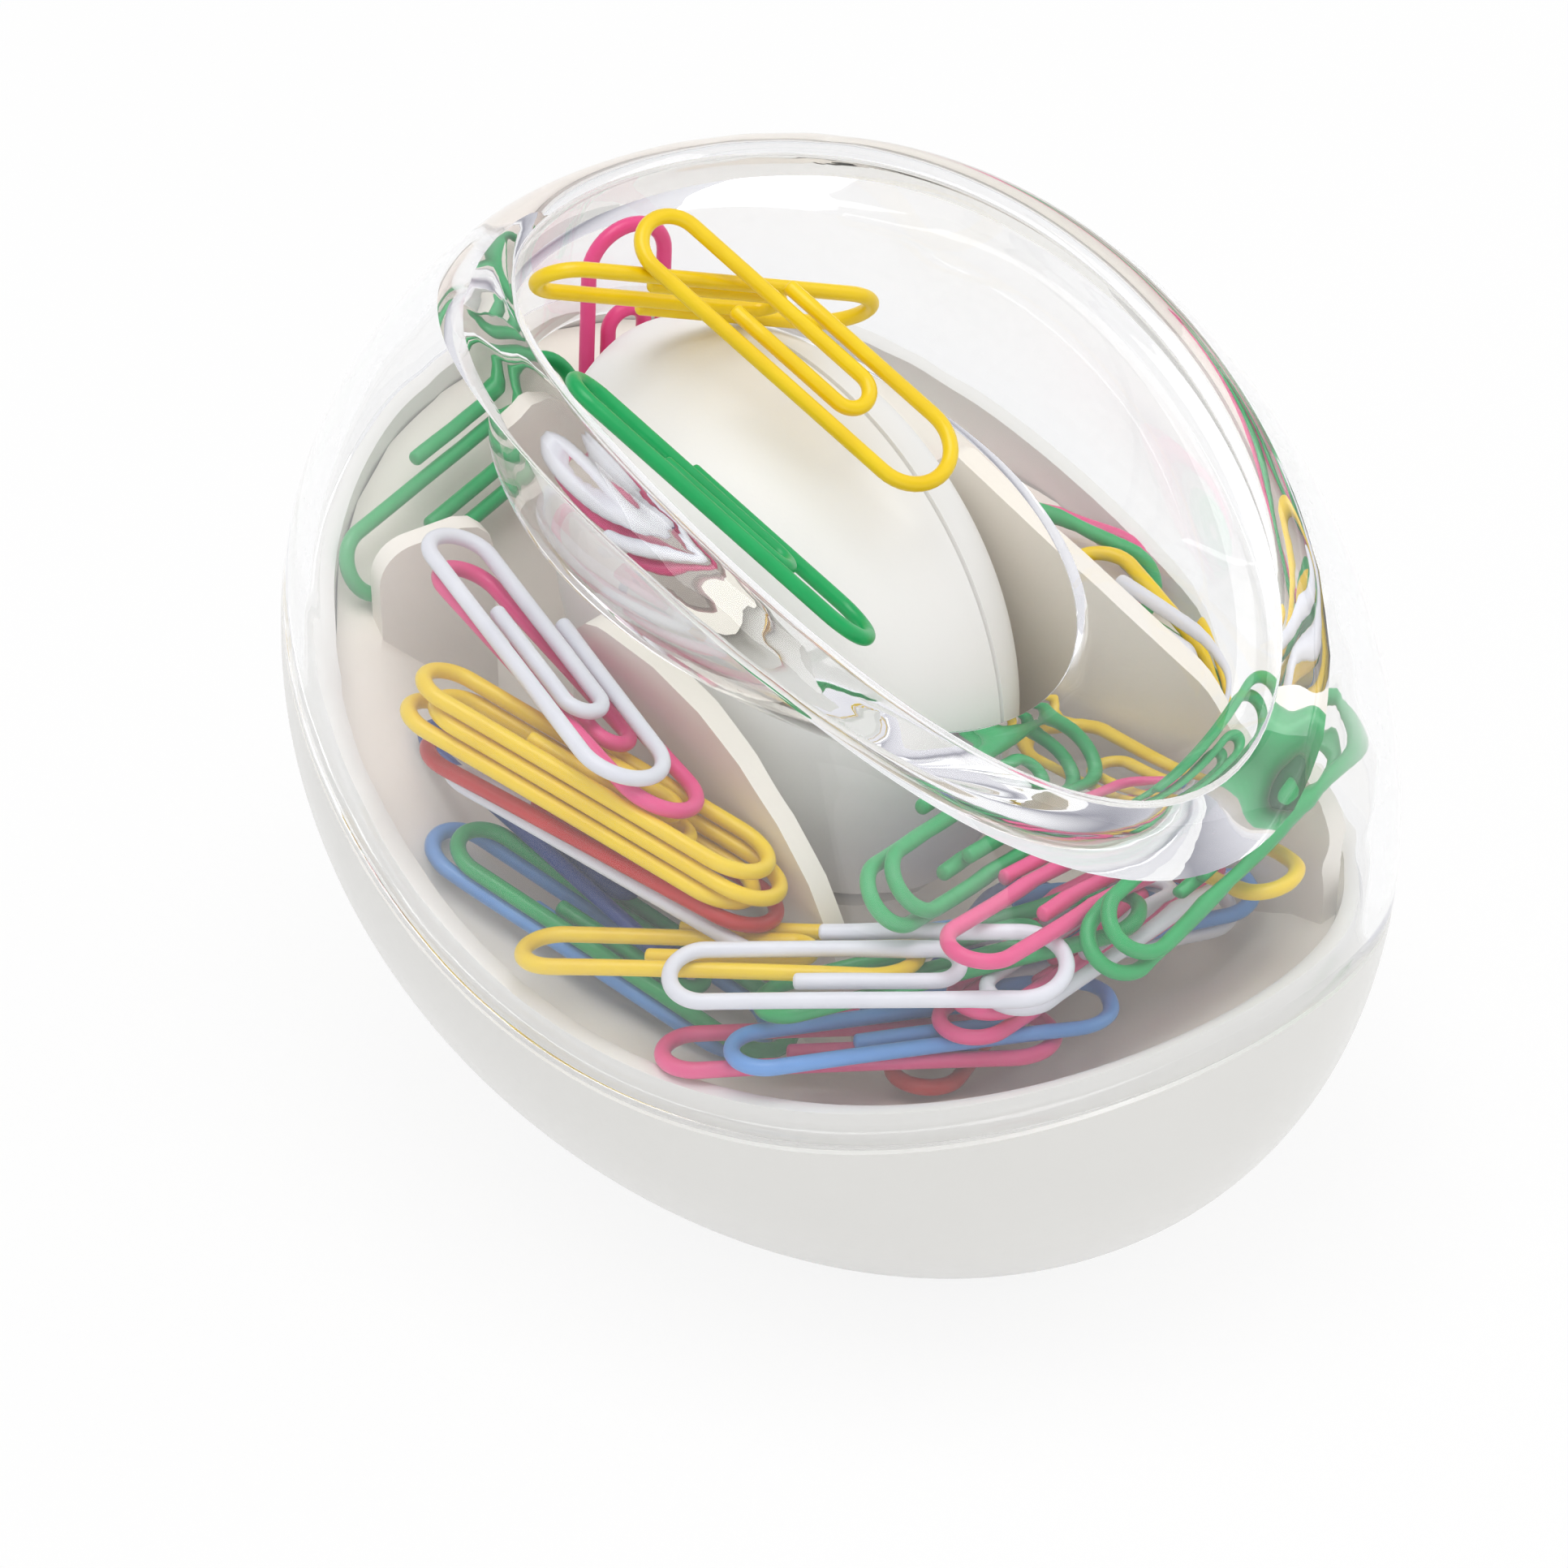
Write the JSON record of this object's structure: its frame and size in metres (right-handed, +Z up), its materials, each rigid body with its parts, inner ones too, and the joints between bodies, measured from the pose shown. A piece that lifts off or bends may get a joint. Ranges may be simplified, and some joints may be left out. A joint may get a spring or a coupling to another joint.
{
  "type": "paper clip holder",
  "caption": "Egg-shaped desk holder for paper clips: clear slanted dome with a funnel mouth on a white bowl, and a leaning magnetic post.",
  "frame": {"origin": "centre of the bounding box, on the desk plane under the foot pad", "axes": "+Z up; +Y towards the high end of the leaning egg, so the mouth slopes down towards -Y; +X to the right of someone who faces the low side's back, looking along +Y"},
  "size_m": [0.076, 0.0873, 0.0721],
  "materials": {
    "clear": "clear, polished",
    "white": "satin",
    "steel": "zinc plated",
    "magnet": "plated",
    "rubber": "matte",
    "clip_yellow": "vinyl coated",
    "clip_green": "vinyl coated",
    "clip_pink": "vinyl coated",
    "clip_red": "vinyl coated",
    "clip_blue": "vinyl coated",
    "clip_white": "vinyl coated",
    "clip_navy": "vinyl coated"
  },
  "bodies": {
    "base": {"base_bowl": "white", "inner_tray": "white", "post_left_shell": "white", "post_right_shell": "white", "magnet_carrier": "white", "tip_magnet": "magnet", "base_weight": "steel", "post_screw": "steel", "tray_screw_1": "steel", "tray_screw_2": "steel", "tray_screw_3": "steel", "foot_pad": "rubber", "loose_clip_01": "clip_red", "loose_clip_02": "clip_navy", "loose_clip_03": "clip_white", "loose_clip_04": "clip_blue", "loose_clip_05": "clip_pink", "loose_clip_06": "clip_blue", "loose_clip_07": "clip_pink", "loose_clip_08": "clip_pink", "loose_clip_09": "clip_white", "loose_clip_10": "clip_green", "loose_clip_11": "clip_yellow", "loose_clip_12": "clip_white", "loose_clip_13": "clip_green", "loose_clip_14": "clip_green", "loose_clip_15": "clip_pink", "loose_clip_16": "clip_green", "loose_clip_17": "clip_green", "loose_clip_18": "clip_yellow", "loose_clip_19": "clip_blue", "loose_clip_20": "clip_green", "loose_clip_21": "clip_white", "loose_clip_22": "clip_navy", "loose_clip_23": "clip_red", "loose_clip_24": "clip_yellow", "loose_clip_25": "clip_yellow", "loose_clip_26": "clip_yellow", "loose_clip_27": "clip_pink", "loose_clip_28": "clip_white", "loose_clip_29": "clip_green", "loose_clip_30": "clip_blue", "loose_clip_31": "clip_yellow", "loose_clip_32": "clip_green", "loose_clip_33": "clip_yellow", "loose_clip_34": "clip_pink", "loose_clip_35": "clip_green", "loose_clip_36": "clip_yellow", "loose_clip_37": "clip_green", "loose_clip_38": "clip_white"},
    "dome": {"clear_dome": "clear"},
    "clip_yellow_under": {"tip_clip_yellow_1": "clip_yellow"},
    "clip_yellow_over": {"tip_clip_yellow_2": "clip_yellow"},
    "clip_green": {"tip_clip_green": "clip_green"},
    "clip_pink": {"tip_clip_pink": "clip_pink"}
  },
  "joints": [
    {"name": "dome_lift", "type": "slide", "parent": "base", "child": "dome", "axis": [0, 0, 1], "range_m": [0, 0.13]},
    {"name": "yellow_under_off", "type": "slide", "parent": "base", "child": "clip_yellow_under", "axis": [0, 0, 1], "range_m": [0, 0.04]},
    {"name": "yellow_over_off", "type": "slide", "parent": "clip_yellow_under", "child": "clip_yellow_over", "axis": [-0.06, -0.5697, 0.8196], "range_m": [0, 0.03]},
    {"name": "green_off", "type": "slide", "parent": "base", "child": "clip_green", "axis": [0, 0, 1], "range_m": [0, 0.04]},
    {"name": "pink_off", "type": "slide", "parent": "base", "child": "clip_pink", "axis": [0, -0.0499, 0.9988], "range_m": [0, 0.045]}
  ]
}
